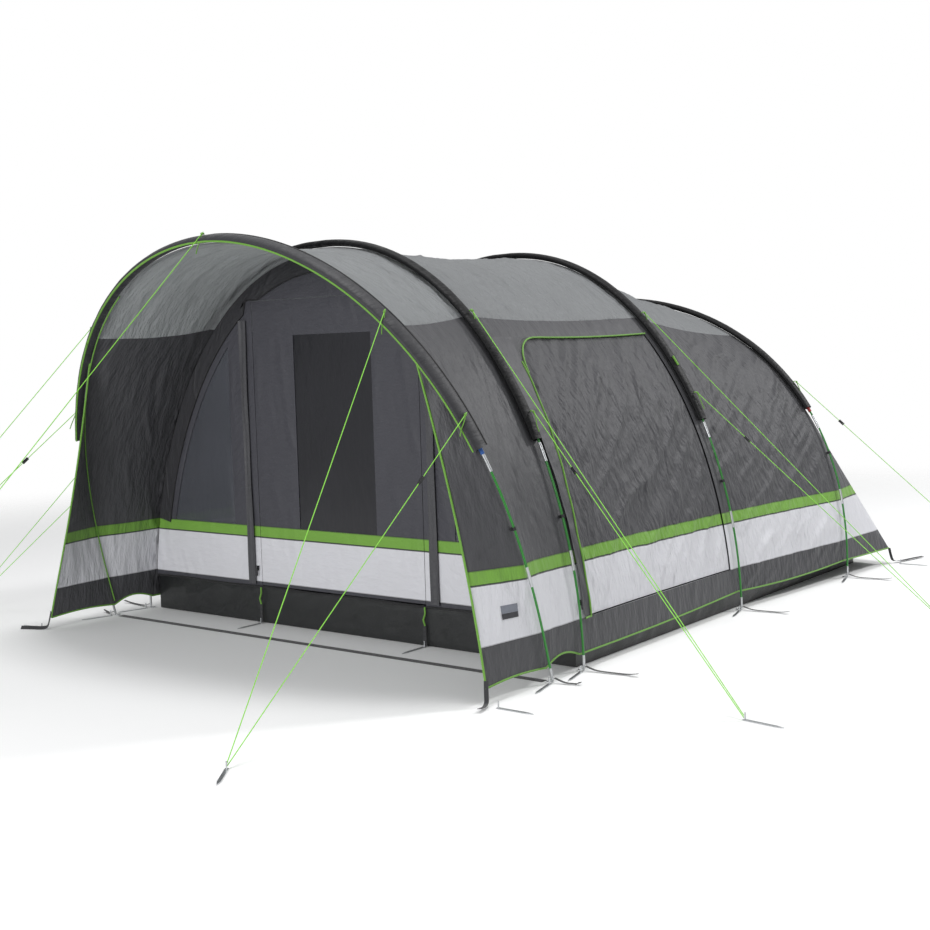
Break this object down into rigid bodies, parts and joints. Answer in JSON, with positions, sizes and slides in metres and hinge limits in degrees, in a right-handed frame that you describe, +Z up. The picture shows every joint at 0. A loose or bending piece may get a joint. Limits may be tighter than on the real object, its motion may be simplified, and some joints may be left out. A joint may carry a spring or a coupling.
{
  "type": "tunnel tent",
  "caption": "Family tunnel tent on glass-fibre arches, with an open porch, doors, windows, groundsheet, sleeping cabin and pegged guy lines.",
  "frame": {"origin": "on the ground, in the middle of the pitched tent without its guy lines", "axes": "+Z up, +Y from the open porch towards the rear, X across the width"},
  "size_m": [5.2395, 6.4695, 2.0173],
  "materials": {
    "pole_green": "glossy green glass-fibre rod",
    "steel": "bare steel",
    "shock_cord": "braided elastic cord",
    "sleeve_black": "woven black polyester sleeve",
    "roof_silver": "light grey coated polyester, ripstop",
    "wall_charcoal": "charcoal polyester with a light band and a green band low down",
    "clear_film": "smoke-tinted flexible window film",
    "webbing_black": "woven nylon webbing",
    "clip_black": "moulded black clip",
    "zip_metal": "black zip slider",
    "groundsheet_black": "woven polyethylene",
    "cabin_fabric": "dark grey breathable polyester",
    "guy_cord": "bright green braided cord",
    "runner_plastic": "moulded black runner"
  },
  "bodies": {
    "tent": {"arch_1_rods": "pole_green", "arch_2_rods": "pole_green", "arch_3_rods": "pole_green", "arch_4_rods": "pole_green", "cabin_hangers": "webbing_black", "front_door_flaps": "wall_charcoal", "front_ground_strap": "webbing_black", "front_wall": "wall_charcoal", "groundsheet": "groundsheet_black", "guy_front_left": "guy_cord", "guy_front_right": "guy_cord", "guy_loops": "webbing_black", "guy_middle_left": "guy_cord", "guy_middle_right": "guy_cord", "guy_pegs": "steel", "guy_porch_centre": "guy_cord", "guy_porch_left": "guy_cord", "guy_porch_right": "guy_cord", "guy_rear_left": "guy_cord", "guy_rear_right": "guy_cord", "living_roof": "roof_silver", "living_side_left": "wall_charcoal", "living_side_right": "wall_charcoal", "peg_straps": "webbing_black", "pole_clips": "clip_black", "pole_ferrules": "steel", "pole_sleeve_1": "sleeve_black", "pole_sleeve_2": "sleeve_black", "pole_sleeve_3": "sleeve_black", "pole_sleeve_4": "sleeve_black", "pole_tips": "steel", "porch_roof": "roof_silver", "porch_side_left": "wall_charcoal", "porch_side_right": "wall_charcoal", "rear_wall": "wall_charcoal", "ring_pins": "steel", "shock_cords": "shock_cord", "side_door": "wall_charcoal", "sleeping_cabin": "cabin_fabric", "sleeping_roof": "roof_silver", "sleeping_side_left": "wall_charcoal", "sleeping_side_right": "wall_charcoal", "wall_pegs": "steel", "window_left": "clear_film", "window_right": "clear_film"},
    "front_door": {"front_door": "wall_charcoal", "front_door_window": "clear_film"},
    "side_door_edge": {"side_door_edge": "wall_charcoal"},
    "front_zip_slider": {"front_zip_slider": "zip_metal"},
    "side_zip_slider": {"side_zip_slider": "zip_metal"},
    "cabin_door": {"cabin_door": "cabin_fabric"},
    "runner_porch_right": {"runner_porch_right": "runner_plastic"},
    "runner_porch_left": {"runner_porch_left": "runner_plastic"},
    "runner_front_right": {"runner_front_right": "runner_plastic"},
    "runner_front_left": {"runner_front_left": "runner_plastic"},
    "runner_middle_right": {"runner_middle_right": "runner_plastic"},
    "runner_middle_left": {"runner_middle_left": "runner_plastic"},
    "runner_rear_right": {"runner_rear_right": "runner_plastic"},
    "runner_rear_left": {"runner_rear_left": "runner_plastic"}
  },
  "joints": [
    {"name": "front_door_swing", "type": "hinge", "parent": "tent", "child": "front_door", "pos_m": [0.575, -1.425, 0.9], "axis": [0, 0, 1], "range_deg": [0, 90]},
    {"name": "side_door_gather", "type": "slide", "parent": "tent", "child": "side_door_edge", "axis": [0, 1, 0], "range_m": [0, 1.3], "deforming": ["side_door"]},
    {"name": "front_zip_slide", "type": "slide", "parent": "tent", "child": "front_zip_slider", "axis": [0, 0, 1], "range_m": [-0.03, 1.38]},
    {"name": "side_zip_slide", "type": "hinge", "parent": "tent", "child": "side_zip_slider", "pos_m": [-1.04129, -1.421, 0.00443], "axis": [0, -1, 0], "range_deg": [0, 20]},
    {"name": "cabin_door_swing", "type": "hinge", "parent": "tent", "child": "cabin_door", "pos_m": [0.52, 0.196, 0.8], "axis": [0, 0, 1], "range_deg": [0, 90]},
    {"name": "runner_porch_right_slide", "type": "slide", "parent": "tent", "child": "runner_porch_right", "axis": [-0.0696, -0.7349, -0.6745], "range_m": [-0.2, 0.6]},
    {"name": "runner_porch_left_slide", "type": "slide", "parent": "tent", "child": "runner_porch_left", "axis": [-0.2902, -0.6949, -0.6579], "range_m": [-0.2, 0.6]},
    {"name": "runner_front_right_slide", "type": "slide", "parent": "tent", "child": "runner_front_right", "axis": [0.7021, -0.206, -0.6816], "range_m": [-0.2, 0.6]},
    {"name": "runner_front_left_slide", "type": "slide", "parent": "tent", "child": "runner_front_left", "axis": [-0.6523, -0.371, -0.661], "range_m": [-0.2, 0.6]},
    {"name": "runner_middle_right_slide", "type": "slide", "parent": "tent", "child": "runner_middle_right", "axis": [0.6887, 0.2172, -0.6917], "range_m": [-0.2, 0.6]},
    {"name": "runner_middle_left_slide", "type": "slide", "parent": "tent", "child": "runner_middle_left", "axis": [-0.6887, 0.2172, -0.6917], "range_m": [-0.2, 0.6]},
    {"name": "runner_rear_right_slide", "type": "slide", "parent": "tent", "child": "runner_rear_right", "axis": [0.6822, 0.2403, -0.6906], "range_m": [-0.2, 0.6]},
    {"name": "runner_rear_left_slide", "type": "slide", "parent": "tent", "child": "runner_rear_left", "axis": [-0.6822, 0.2403, -0.6906], "range_m": [-0.2, 0.6]}
  ]
}
